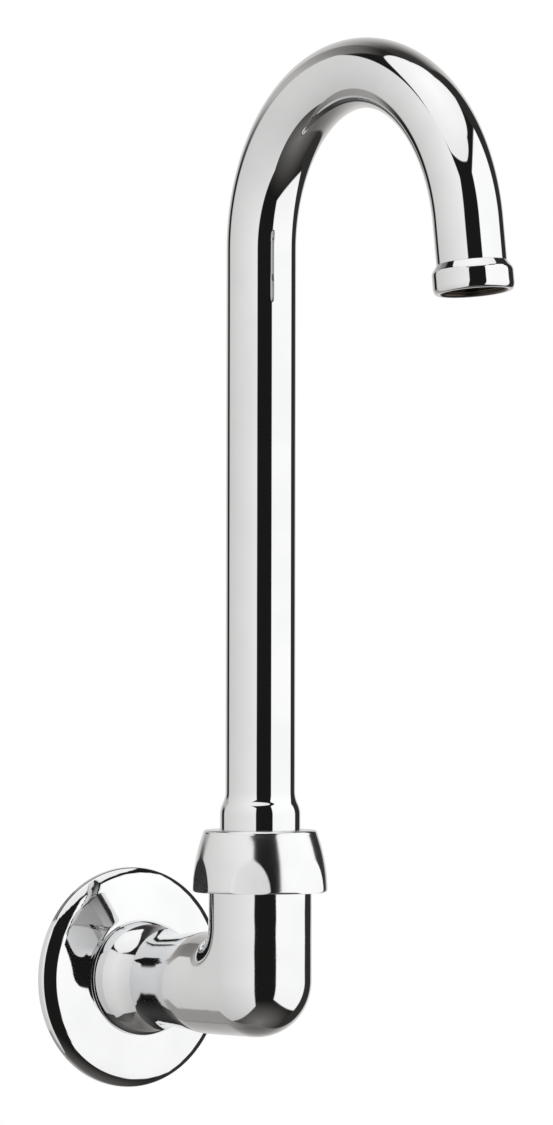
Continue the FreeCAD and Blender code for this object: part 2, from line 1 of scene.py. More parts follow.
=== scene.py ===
import bpy
import math
import numpy as np
from mathutils import Matrix, Vector


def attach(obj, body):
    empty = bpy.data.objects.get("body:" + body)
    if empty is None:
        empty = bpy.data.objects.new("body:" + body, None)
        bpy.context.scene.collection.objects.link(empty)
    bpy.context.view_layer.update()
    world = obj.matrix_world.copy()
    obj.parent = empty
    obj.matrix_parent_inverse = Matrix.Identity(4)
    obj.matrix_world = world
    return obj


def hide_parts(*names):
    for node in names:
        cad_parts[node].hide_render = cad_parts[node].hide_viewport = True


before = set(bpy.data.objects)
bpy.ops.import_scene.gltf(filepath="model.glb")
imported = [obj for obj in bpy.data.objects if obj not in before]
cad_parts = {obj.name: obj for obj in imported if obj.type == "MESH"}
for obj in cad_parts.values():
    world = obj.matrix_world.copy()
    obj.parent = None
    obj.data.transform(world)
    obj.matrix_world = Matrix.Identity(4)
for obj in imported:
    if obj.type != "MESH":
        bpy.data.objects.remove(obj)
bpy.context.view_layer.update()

MM = 0.001

# ---- Elbow casting -----------------------------------------------------------------------------------
# The cast brass elbow is screwed to the pipe in the wall and carries everything else. Its outside is
# polished by hand and chrome plated, so it shines a little softer than drawn tube. Inside are the pipe
# thread, the cored waterway and the bored socket that the swivel turns in.
RISER_Y = -58.7             # riser's axis from the wall
LEG_RADIUS = 13.25
CORNER_RADIUS = 1.4         # centreline radius of the outer corner
THROAT_CENTRE = 15.15       # middle of the small round in the inside corner, from both legs' axes
LEG_TOP = 25.4
RELIEF_RADIUS, RELIEF_TOP = 12.1, 26.6
NECK_RADIUS, NECK_TOP, NECK_CHAMFER = 12.7, 31.0, 0.6
SOCKET_RADIUS, SOCKET_FLOOR = 8.68, 12.5
WATERWAY_RADIUS, WATERWAY_BEND = 8.0, 10.0
TAPER_START = 38.8          # where the level leg starts to narrow, from the wall
TAPER_ROUND = 40.0          # round at both ends of that taper
WAIST_RADIUS, WAIST_DISTANCE = 11.85, 18.8
HUB_RADIUS, HUB_FRONT, HUB_BACK = 15.1, 6.5, 6.1
SPIGOT_RADIUS = 13.9
INLET_RADIUS, INLET_LENGTH, INLET_PITCH, INLET_DEPTH = 10.4, 14.0, 1.814, 1.2
EDGE_BREAK = 0.25           # rounding that casting and polishing leave on an edge
THREAD_CREST = 0.12         # share of a thread's half pitch that is flat crest, and again flat root
ELBOW_COLUMNS = 192
RUN_RINGS, TURN_RINGS = 24, 51      # rings along each leg of the bend, and round its corner
THROAT_TURN = 27                    # degrees that the throat turns beside each leg's rings

ACROSS = np.array([1.0, 0.0, 0.0])
INWARD = np.array([0.0, 1.0, 0.0])
UP = np.array([0.0, 0.0, 1.0])


def bow(start, end, steps=24):
    """S-shaped run between two (radius, height) points: two equal arcs that start and end along the axis."""
    (r0, h0), (r1, h1) = start, end
    rise, run = (r1 - r0) / 2, (h1 - h0) / 2
    radius = (rise * rise + run * run) / (2 * abs(rise))
    half = math.asin(abs(run) / radius)
    angle = np.linspace(0, half, steps)
    along = radius * np.sin(angle) * math.copysign(1, run)
    side = radius * (1 - np.cos(angle)) * math.copysign(1, rise)
    first = np.stack([r0 + side, h0 + along], axis=1)
    second = np.stack([r1 - side, h1 - along], axis=1)[::-1]
    return np.concatenate([first, second[1:]])


def eased(start, end, radius, steps=16):
    """Arc, straight line and arc between two (radius, height) points, along the axis at both ends."""
    (r0, h0), (r1, h1) = start, end
    run, rise = h1 - h0, r1 - r0
    slope = math.asin(2 * radius / math.hypot(run, 2 * radius - rise)) - math.atan2(2 * radius - rise, run)
    turn = np.linspace(0, slope, steps)
    first = np.stack([r0 + radius * (1 - np.cos(turn)), h0 + radius * np.sin(turn)], axis=1)
    last = np.stack([r1 - radius * (1 - np.cos(turn)), h1 - radius * np.sin(turn)], axis=1)[::-1]
    return np.concatenate([first, evenly(first[-1], last[0], 8)[1:-1], last])


def evenly(start, end, steps):
    """Points at even steps on the line between two (radius, height) points, both ends included."""
    return np.linspace(start, end, steps)


def outline(corners, closed=False, steps=5, guard=0.07):
    """Line through (radius, height, rounding) corners. A rounded corner becomes an arc that touches both
    sides, and each long side gets a guard point near its ends, so that it shades flat beside a round."""
    corners = np.array(corners, float)
    spots, rounding = corners[:, :2], corners[:, 2]
    before, after = spots - np.roll(spots, 1, axis=0), np.roll(spots, -1, axis=0) - spots
    line = []
    for k, spot in enumerate(spots):
        if rounding[k] == 0 or (not closed and k in (0, len(spots) - 1)):
            line.append(spot[None, :])
            continue
        into, out = np.linalg.norm(before[k]), np.linalg.norm(after[k])
        u, v = before[k] / into, after[k] / out
        turn = math.acos(max(-1.0, min(1.0, float(u @ v))))
        reach = min(rounding[k] * math.tan(turn / 2), 0.48 * into, 0.48 * out)
        radius = reach / math.tan(turn / 2)
        centre = spot + (v - u) / np.linalg.norm(v - u) * radius / math.cos(turn / 2)
        swing = np.linspace(-turn / 2, turn / 2, steps)[:, None]
        middle, tangent = (spot - centre) / np.linalg.norm(spot - centre), (u + v) / np.linalg.norm(u + v)
        line.append(centre + radius * (np.cos(swing) * middle + np.sin(swing) * tangent))
    line = np.concatenate(line)
    following = np.roll(line, -1, axis=0) if closed else np.concatenate([line[1:], line[-1:]])
    length = np.linalg.norm(following - line, axis=1)
    keep = length > 1e-6
    keep[-1] = keep[-1] or not closed
    unit = (following - line) / np.maximum(length, 1e-9)[:, None]
    long = (length > 4 * guard)[:, None]
    near, far = line + unit * guard, following - unit * guard
    stacked = np.stack([line, np.where(long, near, np.nan), np.where(long, far, np.nan)], axis=1)
    stacked = stacked[keep].reshape(-1, 2)
    return stacked[~np.isnan(stacked[:, 0])]


def plain(points):
    """The same (radius, height) points as corners with no rounding."""
    return [(r, h, 0) for r, h in points]


def around(columns):
    """Angles of the columns of a skin, a full turn."""
    return np.arange(columns) * 2 * math.pi / columns


def skin(centres, sideways, radii, columns):
    """Rings round a path. A point is the ring's centre + radius x (cos a x X + sin a x sideways)."""
    angle = around(columns)
    if np.ndim(radii) != 2:
        radii = np.reshape(radii, (-1, 1))
    radii = np.broadcast_to(radii, (len(centres), columns))
    spoke = np.cos(angle)[None, :, None] * ACROSS + np.sin(angle)[None, :, None] * sideways[:, None, :]
    return centres[:, None, :] + radii[:, :, None] * spoke


def straight(line, origin, axis, sideways, columns, radii=None):
    """Skin of a straight stretch: each (radius, height) point is a ring at origin + height x axis."""
    centres = np.asarray(origin, float) + line[:, 1:] * axis
    if radii is None:
        radii = line[:, 0]
    return skin(centres, np.broadcast_to(sideways, centres.shape), radii, columns)


def thread(line, low, high, pitch, depth, columns, runout=0.8):
    """Radius of each ring point over a threaded stretch: a 60 degree V of the given depth that climbs one
    pitch in a turn, with flat crests and roots, and dies out at both ends."""
    turns = line[:, 1:] / pitch + around(columns)[None, :] / (2 * math.pi)
    v = np.abs((turns % 1.0) * 2 - 1)
    shape = np.clip((v - THREAD_CREST) / (1 - 2 * THREAD_CREST), 0, 1)
    fade = np.clip((line[:, 1:] - low) / runout, 0, 1) * np.clip((high - line[:, 1:]) / runout, 0, 1)
    return line[:, :1] - depth * shape * fade


def closed_piece(name, grid):
    """Mesh object from a grid of points in millimetres that closes on itself both ways. Four neighbours make
    a face, and the order is turned round if the enclosed volume comes out negative, so that faces point out.
    """
    points = grid.reshape(-1, 3) * MM
    number = np.arange(len(points)).reshape(grid.shape[:2])
    right, below = np.roll(number, -1, axis=1), np.roll(number, -1, axis=0)
    quads = np.stack([number, right, np.roll(below, -1, axis=1), below], axis=-1).reshape(-1, 4)
    a, b, c, d = (points[quads[:, k]] for k in range(4))
    volume = np.einsum("ij,ij->", a, np.cross(b, c)) + np.einsum("ij,ij->", a, np.cross(c, d))
    if volume < 0:
        quads = quads[:, ::-1]
    mesh = bpy.data.meshes.new(name)
    mesh.vertices.add(len(points))
    mesh.vertices.foreach_set("co", points.ravel())
    mesh.loops.add(quads.size)
    mesh.loops.foreach_set("vertex_index", quads.ravel())
    mesh.polygons.add(len(quads))
    mesh.polygons.foreach_set("loop_start", np.arange(0, quads.size, 4))
    mesh.update(calc_edges=True)
    mesh.validate()
    mesh.shade_smooth()
    piece = bpy.data.objects.new(name, mesh)
    bpy.context.scene.collection.objects.link(piece)
    return piece


class Wire:
    """One output socket in a node tree. Arithmetic on it adds Math nodes, and node() adds any other node."""

    def __init__(self, tree, socket=None):
        self.tree, self.socket = tree, socket

    def node(self, kind, settings=None, inputs=None, out=0):
        """Adds a node of a kind, applies its settings, then sets or links its sockets; gives one output."""
        made = self.tree.nodes.new(kind)
        for key, value in (settings or {}).items():
            if key == "stops":
                ramp = made.color_ramp
                while len(ramp.elements) < len(value):
                    ramp.elements.new(0.5)
                for element, (position, shade) in zip(ramp.elements, value):
                    element.position = position
                    element.color = (shade, shade, shade, 1.0)
            else:
                setattr(made, key, value)
        for key, value in (inputs or {}).items():
            if isinstance(value, Wire):
                self.tree.links.new(value.socket, made.inputs[key])
            else:
                made.inputs[key].default_value = value
        return Wire(self.tree, made.outputs[out] if len(made.outputs) else None)

    def math(self, operation, first, second=0.0):
        return self.node("ShaderNodeMath", {"operation": operation}, {0: first, 1: second})

    def __add__(self, other):
        return self.math("ADD", self, other)

    def __radd__(self, other):
        return self.math("ADD", other, self)

    def __sub__(self, other):
        return self.math("SUBTRACT", self, other)

    def __rsub__(self, other):
        return self.math("SUBTRACT", other, self)

    def __mul__(self, other):
        return self.math("MULTIPLY", self, other)

    def __truediv__(self, other):
        return self.math("DIVIDE", self, other)

    def rise(self, low, high):
        """0 below low, 1 above high and a smooth S between them; low and high may be wires."""
        return self.node("ShaderNodeMapRange", {"interpolation_type": "SMOOTHSTEP"},
                         {"Value": self, "From Min": low, "From Max": high})

    def mix(self, first, second):
        """Colour that goes from the first to the second as this value goes from 0 to 1."""
        return self.node("ShaderNodeMix", {"data_type": "RGBA"}, {0: self, 6: first, 7: second}, out=2)


def new_finish(name):
    """Empty material, with the wire its nodes start from and its shader."""
    finish = bpy.data.materials.new(name)
    finish.use_nodes = True
    finish.node_tree.nodes.clear()
    start = Wire(finish.node_tree)
    shader = start.node("ShaderNodeBsdfPrincipled")
    start.node("ShaderNodeOutputMaterial", None, {"Surface": shader})
    return finish, start, shader.socket.node


def noise(start, place, size, detail=2.0, roughness=0.5):
    """Fractal noise from 0 to 1 whose patches are about the given size in metres."""
    return start.node("ShaderNodeTexNoise", None, {
        "Vector": place, "Scale": 1 / size, "Detail": detail, "Roughness": roughness,
    })


CHROME_LIGHT = (0.735, 0.742, 0.752, 1.0)
CHROME_DARK = (0.655, 0.664, 0.676, 1.0)
# Painted shade: the near-black brown that stands in for the shade inside the threaded mouth.
MOUTH_PAINTED_SHADE = (0.10, 0.085, 0.07, 1.0)
DRIFT_SIZE, HAZE_SIZE = 0.018, 0.007        # patches of thinner plate, and of haze, in metres
DROPS_PER_METRE = 210.0
SHADE_INNER, SHADE_OUTER = 0.0084, 0.0088   # the painted shade fades out between these radii, in metres


def chrome(name, polish, wave, wave_height, grain, grain_height, mouth=False):
    """Bright chrome plate. Its colour drifts a little with the thickness of the plate, faint wiping marks and
    dried drops dull it, and the ground under it waves and has a grain that bends the reflections. In a
    threaded mouth, as far out as the lip, the plate is thin and rougher, and its colour is darkened to
    near-black brown as painted shade for the recess."""
    finish, start, shader = new_finish(name)
    place = start.node("ShaderNodeTexCoord", out="Object")
    drift = noise(start, place, DRIFT_SIZE, 3.0)
    haze = noise(start, place, HAZE_SIZE, 5.0, 0.62)
    spots = {"Vector": place, "Scale": DROPS_PER_METRE}
    cells = start.node("ShaderNodeTexVoronoi", {"feature": "F1"}, spots, out="Distance")
    drops = (1.0 - cells.rise(0.16, 0.24)) * haze.rise(0.55, 0.72)
    ring = cells.rise(0.14, 0.19) * (1.0 - cells.rise(0.19, 0.25)) * haze.rise(0.55, 0.72)
    colour = (drift.rise(0.3, 0.7) * 0.5 + drops * 0.3).mix(CHROME_LIGHT, CHROME_DARK)
    if mouth:
        end, axis = tuple(TUBE_END * MM), tuple(OUTLET_AXIS)
        arm = start.node("ShaderNodeVectorMath", {"operation": "SUBTRACT"}, {0: place, 1: end})
        off = start.node("ShaderNodeVectorMath", {"operation": "CROSS_PRODUCT"}, {0: arm, 1: axis})
        off = start.node("ShaderNodeVectorMath", {"operation": "LENGTH"}, {0: off}, out="Value")
        # Painted shade: inside the mouth the colour is darkened towards the dark brown, standing in for the
        # shade in the recess.
        mouth_shade = 1.0 - off.rise(SHADE_INNER, SHADE_OUTER)
        colour = mouth_shade.mix(colour, MOUTH_PAINTED_SHADE)
    start.tree.links.new(colour.socket, shader.inputs["Base Color"])
    shader.inputs["Metallic"].default_value = 1.0
    if mouth:
        polish = polish + mouth_shade * 0.3
    dull = polish + haze.rise(0.45, 0.8) * 0.030 + drops * 0.02 + ring * 0.035
    start.tree.links.new(dull.socket, shader.inputs["Roughness"])
    waves = noise(start, place, wave, 1.0)
    grains = noise(start, place, grain, 3.0, 0.6)
    bump = start.node("ShaderNodeBump", None, {"Height": waves, "Distance": wave_height, "Strength": 1.0})
    bump = start.node("ShaderNodeBump", None, {
        "Height": grains, "Distance": grain_height, "Strength": 1.0, "Normal": bump,
    })
    start.tree.links.new(bump.socket, shader.inputs["Normal"])
    return finish


def elbow_bend():
    """Skin of the bend, from the level leg to the upright one. The outer half ring follows the tight corner
    and the inner half ring the small round in the throat; the flat cheeks between them are as long as the
    two are apart, and the columns are spread evenly over half ring, cheek and half ring. In the corner itself
    the spread stays fixed, so that no column slides past the closely set rings."""
    ramp = np.linspace(0, 1, RUN_RINGS + 1)
    corner = np.concatenate([np.zeros(RUN_RINGS), np.linspace(0, 90, TURN_RINGS), np.full(RUN_RINGS, 90.0)])
    slide = np.concatenate([ramp[:0:-1], np.zeros(TURN_RINGS), ramp[1:]])
    throat = np.concatenate([THROAT_TURN * ramp[:-1], np.linspace(THROAT_TURN, 90 - THROAT_TURN, TURN_RINGS),
                             90 - THROAT_TURN * ramp[-2::-1]])
    corner, throat = np.radians(corner)[:, None], np.radians(throat)[:, None]
    slide = (slide * (THROAT_CENTRE - CORNER_RADIUS))[:, None]
    level_first = np.arange(len(corner))[:, None] < RUN_RINGS
    heading = -np.cos(corner) * UP - np.sin(corner) * INWARD
    hinge = np.array([0, RISER_Y + CORNER_RADIUS, CORNER_RADIUS])
    outer = hinge + CORNER_RADIUS * heading + slide * np.where(level_first, INWARD, UP)
    facing = np.cos(throat) * UP + np.sin(throat) * INWARD
    inner = np.array([0, RISER_Y + THROAT_CENTRE, THROAT_CENTRE]) - THROAT_CENTRE * facing
    apart = np.linalg.norm(outer - inner, axis=1)[:, None]
    spread = apart.copy()
    spread[RUN_RINGS:RUN_RINGS + TURN_RINGS] = apart[RUN_RINGS]
    angle = around(ELBOW_COLUMNS)[None, :]
    side = np.where(np.cos(angle) >= 0, 1.0, -1.0)
    share = np.arcsin(np.sin(angle)) / math.pi + 0.5
    walk = share * (math.pi * LEG_RADIUS + spread)
    quarter = math.pi / 2 * LEG_RADIUS
    outer_turn = np.clip(walk / LEG_RADIUS, 0, math.pi / 2)
    cheek = np.clip(walk - quarter, 0, None)
    cheek = np.minimum(cheek, spread) / np.maximum(spread, 1e-6)
    inner_turn = np.clip((walk - quarter - spread) / LEG_RADIUS, 0, math.pi / 2)
    middle = outer[:, None, :] * (1 - cheek[..., None]) + inner[:, None, :] * cheek[..., None]
    below = LEG_RADIUS * np.cos(outer_turn)[..., None] * heading[:, None, :]
    above = LEG_RADIUS * np.sin(inner_turn)[..., None] * facing[:, None, :]
    across = LEG_RADIUS * np.where(inner_turn > 0, np.cos(inner_turn), np.sin(outer_turn)) * side
    return middle + below + above + across[..., None] * ACROSS


LEVEL = dict(origin=(0, 0, 0), axis=-INWARD, sideways=UP, columns=ELBOW_COLUMNS)
UPRIGHT = dict(origin=(0, RISER_Y, 0), axis=UP, sideways=INWARD, columns=ELBOW_COLUMNS)
wall_middle = (SPIGOT_RADIUS + INLET_RADIUS) / 2
bend_foot = -RISER_Y - THROAT_CENTRE
level_out = outline([
    (wall_middle, 0, 0), (SPIGOT_RADIUS, 0, EDGE_BREAK), (SPIGOT_RADIUS, HUB_BACK, 0.1),
    (HUB_RADIUS, HUB_BACK, 0.2), *plain(bow((HUB_RADIUS, HUB_FRONT), (WAIST_RADIUS, WAIST_DISTANCE))),
    *plain(eased((WAIST_RADIUS, WAIST_DISTANCE), (LEG_RADIUS, TAPER_START), TAPER_ROUND)[1:]),
    *plain(evenly((LEG_RADIUS, TAPER_START + 0.5), (LEG_RADIUS, bend_foot), 8)[:-1]),
])
upright = outline([
    *plain(evenly((LEG_RADIUS, THROAT_CENTRE), (LEG_RADIUS, LEG_TOP - 1), 10)[1:]),
    (LEG_RADIUS, LEG_TOP, EDGE_BREAK), (RELIEF_RADIUS, LEG_TOP, 0.1), (RELIEF_RADIUS, RELIEF_TOP, 0.1),
    (NECK_RADIUS, RELIEF_TOP, 0.15), (NECK_RADIUS, NECK_TOP - NECK_CHAMFER, 0.15),
    (NECK_RADIUS - NECK_CHAMFER, NECK_TOP, 0.15), (SOCKET_RADIUS, NECK_TOP, 0.2),
    (SOCKET_RADIUS, SOCKET_FLOOR, 0.1), (WATERWAY_RADIUS, SOCKET_FLOOR, 0.15),
    (WATERWAY_RADIUS, WATERWAY_BEND, 0),
])
cored = np.radians(np.linspace(0, 90, RUN_RINGS + 1)[1:])[:, None]
cored_hinge = np.array([0, RISER_Y + WATERWAY_BEND, WATERWAY_BEND])
cored_side = np.cos(cored) * INWARD + np.sin(cored) * UP
cored_radii = np.full(RUN_RINGS, WATERWAY_RADIUS)
cored_skin = skin(cored_hinge - WATERWAY_BEND * cored_side, cored_side, cored_radii, ELBOW_COLUMNS)
cone_end = INLET_LENGTH + INLET_RADIUS - WATERWAY_RADIUS
level_in = outline([
    (WATERWAY_RADIUS, -RISER_Y - WATERWAY_BEND - 1, 0), (WATERWAY_RADIUS, cone_end, 0.3),
    (INLET_RADIUS, INLET_LENGTH, 0.2),
    *plain(evenly((INLET_RADIUS, INLET_LENGTH - 0.3), (INLET_RADIUS, 0.5), 100)),
    (INLET_RADIUS, 0, 0.4), (wall_middle, 0, 0),
])
inlet_radii = thread(level_in, 0.2, INLET_LENGTH - 0.2, INLET_PITCH, INLET_DEPTH, ELBOW_COLUMNS)
elbow = closed_piece("chromed_elbow", np.concatenate([
    straight(level_out, **LEVEL), elbow_bend(), straight(upright, **UPRIGHT), cored_skin,
    straight(level_in, radii=inlet_radii, **LEVEL)[:-1],
]))
elbow.data.materials.append(chrome(
    "cast_chrome", polish=0.06, wave=0.009, wave_height=8e-5, grain=0.0009, grain_height=1.6e-6,
))
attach(elbow, "base")
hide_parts("elbow_body")

# ---- Wall flange -------------------------------------------------------------------------------------
# The flange is a shallow dome spun from brass sheet, polished bright and chromed. It slips over the
# elbow's spigot and hides the hole in the wall; its plain rim stands on the wall.
FLANGE_RADIUS, FLANGE_RIM = 28.575, 1.4
EDGE_ROUND, EDGE_SLOPE = 1.0, 42.0          # the rim turns over this round to this slope
SHOULDER_ROUND, CONE_SLOPE = 8.0, 13.47     # then over a wider one to the cone's slope
LAND_ROUND = 8.0                            # and eases over this one to the flat land round the hub
FLANGE_HOLE, FLANGE_HEIGHT, FLANGE_SHEET = 14.1, 6.1, 1.2
FLANGE_COLUMNS = 288


def turned_over(start, radius, slope_from, slope_to, steps):
    """Arc that starts at a (radius, height) point and turns between two slopes, in degrees from the wall."""
    slope = np.radians(np.linspace(slope_from, slope_to, steps))
    return np.stack([start[0] - radius * (np.sin(slope[0]) - np.sin(slope)),
                     start[1] + radius * (np.cos(slope) - np.cos(slope[0]))], axis=1)


rim_round = turned_over((FLANGE_RADIUS, FLANGE_RIM), EDGE_ROUND, 90, EDGE_SLOPE, 10)
shoulder = turned_over(rim_round[-1], SHOULDER_ROUND, EDGE_SLOPE, CONE_SLOPE, 14)
cone_rise = FLANGE_HEIGHT - LAND_ROUND * (1 - math.cos(math.radians(CONE_SLOPE))) - shoulder[-1, 1]
cone_top = (shoulder[-1, 0] - cone_rise / math.tan(math.radians(CONE_SLOPE)), shoulder[-1, 1] + cone_rise)
crown = turned_over(cone_top, LAND_ROUND, CONE_SLOPE, 0, 20)
outside = np.concatenate([rim_round, shoulder[1:], evenly(shoulder[-1], cone_top, 16)[1:-1], crown,
                          evenly(crown[-1], (FLANGE_HOLE + 0.5, FLANGE_HEIGHT), 6)[1:]])
tangent = np.gradient(outside, axis=0)
tangent /= np.linalg.norm(tangent, axis=1)[:, None]
inside = outside + FLANGE_SHEET * np.stack([-tangent[:, 1], tangent[:, 0]], axis=1)
inner_rim, under = FLANGE_RADIUS - FLANGE_SHEET, FLANGE_HEIGHT - FLANGE_SHEET
inside = inside[inside[:, 0] < inner_rim - 0.3][::-1]
flange_line = outline([
    (inner_rim, 0, 0.2), (FLANGE_RADIUS, 0, 0.3), *plain(outside),
    (FLANGE_HOLE, FLANGE_HEIGHT, 0.2), (FLANGE_HOLE, under, 0.2), *plain(inside),
    (inner_rim, min(inside[-1, 1], FLANGE_RIM), 0),
], closed=True)
INLET = dict(origin=(0, 0, 0), axis=-INWARD, sideways=UP)
flange = closed_piece("wall_flange_dome", straight(flange_line, columns=FLANGE_COLUMNS, **INLET))
flange.data.materials.append(chrome(
    "spun_chrome", polish=0.022, wave=0.016, wave_height=3e-5, grain=0.0007, grain_height=5e-7,
))
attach(flange, "base")
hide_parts("wall_flange")

# ---- Rubber behind the flange ------------------------------------------------------------------------
# A flat moulded gasket lies in the rim against the wall, with two fine sealing grooves, and a round ring
# stretched on the spigot keeps the flange up against the elbow's hub.
GASKET_OUTER, GASKET_WIDTH, GASKET_THICKNESS = 27.345, 5.0, 1.2
GROOVE_DEPTH, GROOVE_MARGIN = 0.3, 0.5      # two grooves, that keep clear of the gasket's edges
GRIP_SECTION, GRIP_PITCH, GRIP_HEIGHT = 1.3, 15.23, 3.5
RUBBER_COLUMNS = 192


def rubber(name):
    """Black moulded rubber: a faint bloom of grey on the high spots, and the fine skin of the mould."""
    finish, start, shader = new_finish(name)
    place = start.node("ShaderNodeTexCoord", out="Object")
    bloom = noise(start, place, 0.004, 4.0, 0.6)
    pores = noise(start, place, 0.0003, 2.0)
    colour = bloom.rise(0.4, 0.75).mix((0.013, 0.013, 0.014, 1.0), (0.042, 0.041, 0.040, 1.0))
    start.tree.links.new(colour.socket, shader.inputs["Base Color"])
    dull = 0.52 + bloom * 0.22
    start.tree.links.new(dull.socket, shader.inputs["Roughness"])
    bump = start.node("ShaderNodeBump", None, {"Height": pores, "Distance": 3e-5, "Strength": 0.8})
    start.tree.links.new(bump.socket, shader.inputs["Normal"])
    return finish


black_rubber = rubber("moulded_rubber")
gasket_inner = GASKET_OUTER - GASKET_WIDTH
groove_steps = np.linspace(gasket_inner + 0.3, GASKET_OUTER - 0.3, 60)
groove_share = (groove_steps - gasket_inner) / GASKET_WIDTH
from_edge = GASKET_WIDTH / 2 - np.abs(groove_steps - gasket_inner - GASKET_WIDTH / 2)
groove_depth = GROOVE_DEPTH * np.clip(np.cos(groove_share * 4 * math.pi) * 1.6 - 0.6, 0, 1)
groove_depth *= np.clip((from_edge - GROOVE_MARGIN) / 0.2, 0, 1)
gasket_line = outline([
    (gasket_inner, 0, 0.2), *[(r, h, 0) for r, h in zip(groove_steps, groove_depth)],
    (GASKET_OUTER, 0, 0.2), (GASKET_OUTER, GASKET_THICKNESS, 0.25), (gasket_inner, GASKET_THICKNESS, 0.25),
], closed=True)
gasket = closed_piece("rubber_gasket", straight(gasket_line, columns=RUBBER_COLUMNS, **INLET))
grip_turn = around(40)
grip_line = np.stack([GRIP_PITCH + GRIP_SECTION * np.cos(grip_turn),
                      GRIP_HEIGHT + GRIP_SECTION * np.sin(grip_turn)], axis=1)
grip = closed_piece("rubber_grip_ring", straight(grip_line, columns=RUBBER_COLUMNS, **INLET))
for piece, node in ((gasket, "flange_gasket"), (grip, "flange_grip_ring")):
    piece.data.materials.append(black_rubber)
    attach(piece, "base")
    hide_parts(node)

# ---- Swivel ------------------------------------------------------------------------------------------
# The turned brass stem stands in the elbow's socket on a plastic washer, guided by a plastic ring and
# sealed by two O-rings. A sprung steel ring in its groove is what the nut pulls down on.

LATHE_RINGS = 9000.0        # per metre


def turned_brass(name):
    """Bare turned brass: yellow metal with fine lathe rings round the riser's axis and brown tarnish."""
    finish, start, shader = new_finish(name)
    place = start.node("ShaderNodeTexCoord", out="Object")
    height = start.node("ShaderNodeSeparateXYZ", None, {"Vector": place}, out="Z")
    lathe = {"W": height * LATHE_RINGS, "Scale": 1.0}
    rings = start.node("ShaderNodeTexNoise", {"noise_dimensions": "1D"}, lathe)
    tarnish = noise(start, place, 0.005, 4.0, 0.6)
    colour = tarnish.rise(0.4, 0.75).mix((0.72, 0.50, 0.21, 1.0), (0.42, 0.25, 0.10, 1.0))
    start.tree.links.new(colour.socket, shader.inputs["Base Color"])
    shader.inputs["Metallic"].default_value = 1.0
    dull = 0.24 + tarnish * 0.2
    start.tree.links.new(dull.socket, shader.inputs["Roughness"])
    bump = start.node("ShaderNodeBump", None, {"Height": rings, "Distance": 4e-6, "Strength": 1.0})
    start.tree.links.new(bump.socket, shader.inputs["Normal"])
    return finish


def acetal(name):
    """White slippery plastic, slightly waxy, with a faint cloud from the mould."""
    finish, start, shader = new_finish(name)
    place = start.node("ShaderNodeTexCoord", out="Object")
    cloud = noise(start, place, 0.004, 3.0)
    colour = cloud.mix((0.86, 0.86, 0.84, 1.0), (0.74, 0.74, 0.71, 1.0))
    start.tree.links.new(colour.socket, shader.inputs["Base Color"])
    dull = 0.34 + cloud * 0.14
    start.tree.links.new(dull.socket, shader.inputs["Roughness"])
    shader.inputs["IOR"].default_value = 1.48
    bump = start.node("ShaderNodeBump", None, {
        "Height": noise(start, place, 0.0006), "Distance": 6e-6, "Strength": 1.0,
    })
    start.tree.links.new(bump.socket, shader.inputs["Normal"])
    return finish


def steel(name):
    """Rolled stainless steel, satin, with a grain that runs along X."""
    finish, start, shader = new_finish(name)
    place = start.node("ShaderNodeTexCoord", out="Object")
    stretched = start.node("ShaderNodeMapping", None, {"Vector": place, "Scale": (0.05, 1.0, 1.0)})
    grain = noise(start, stretched, 0.0002, 3.0)
    colour = grain.mix((0.62, 0.61, 0.59, 1.0), (0.50, 0.49, 0.48, 1.0))
    start.tree.links.new(colour.socket, shader.inputs["Base Color"])
    shader.inputs["Metallic"].default_value = 1.0
    dull = 0.22 + grain * 0.18
    start.tree.links.new(dull.socket, shader.inputs["Roughness"])
    bump = start.node("ShaderNodeBump", None, {"Height": grain, "Distance": 3e-6, "Strength": 1.0})
    start.tree.links.new(bump.socket, shader.inputs["Normal"])
    return finish


white_plastic, rolled_steel = acetal("white_acetal"), steel("rolled_steel")
inner_finishes = {
    "swivel_stem": turned_brass("lathe_turned_brass"),
    "thrust_washer": white_plastic, "friction_washer": white_plastic, "stem_bearing": white_plastic,
    "upper_o_ring": black_rubber, "lower_o_ring": black_rubber,
    "split_ring": rolled_steel,
    "flow_control_housing": white_plastic, "flow_control_ring": black_rubber, "flow_screen": rolled_steel,
}
for node, finish in inner_finishes.items():
    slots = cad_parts[node].data.materials
    if len(slots) == 0:
        slots.append(finish)
    for k in range(len(slots)):
        slots[k] = finish

# ---- Spout tube --------------------------------------------------------------------------------------
# Drawn brass tube, polished and chromed. Its foot is swelled to sit in the nut, it rises straight, and it
# is bent round a former into the arch, where the outlet leg still leans a little outwards.
TUBE_SEAT, FLARE_START, FLARE_END = 36.6, 43.9, 49.9
BASE_RADIUS, TUBE_RADIUS, TUBE_WALL = 10.3, 8.92, 1.0
ARCH_RADIUS, ARCH_HEIGHT, ARCH_BEND = 44.45, 188.6, 171.4
TAIL_LENGTH = 10.9          # straight run after the bend, as far as the collar
TUBE_COLUMNS, ARCH_RINGS, BORE_RINGS = 160, 173, 60
ARCH_CENTRE = np.array([0, RISER_Y - ARCH_RADIUS, ARCH_HEIGHT])
lean = math.radians(180 - ARCH_BEND)
OUTLET_AXIS = np.array([0, -math.sin(lean), -math.cos(lean)])
OUTLET_SIDE = np.array([0, -math.cos(lean), math.sin(lean)])
TUBE_END = ARCH_CENTRE + ARCH_RADIUS * OUTLET_SIDE + TAIL_LENGTH * OUTLET_AXIS
RISER = dict(origin=(0, RISER_Y, 0), axis=UP, sideways=INWARD)
OUTLET = dict(origin=TUBE_END, axis=OUTLET_AXIS, sideways=OUTLET_SIDE)


def arch(radius, steps):
    """Skin of the bend: rings whose centres go round the arch's centre from the riser to the outlet leg."""
    swing = np.radians(np.linspace(0, ARCH_BEND, steps))[:, None]
    spoke = np.cos(swing) * INWARD + np.sin(swing) * UP
    return skin(ARCH_CENTRE + ARCH_RADIUS * spoke, spoke, np.full(steps, radius), TUBE_COLUMNS)


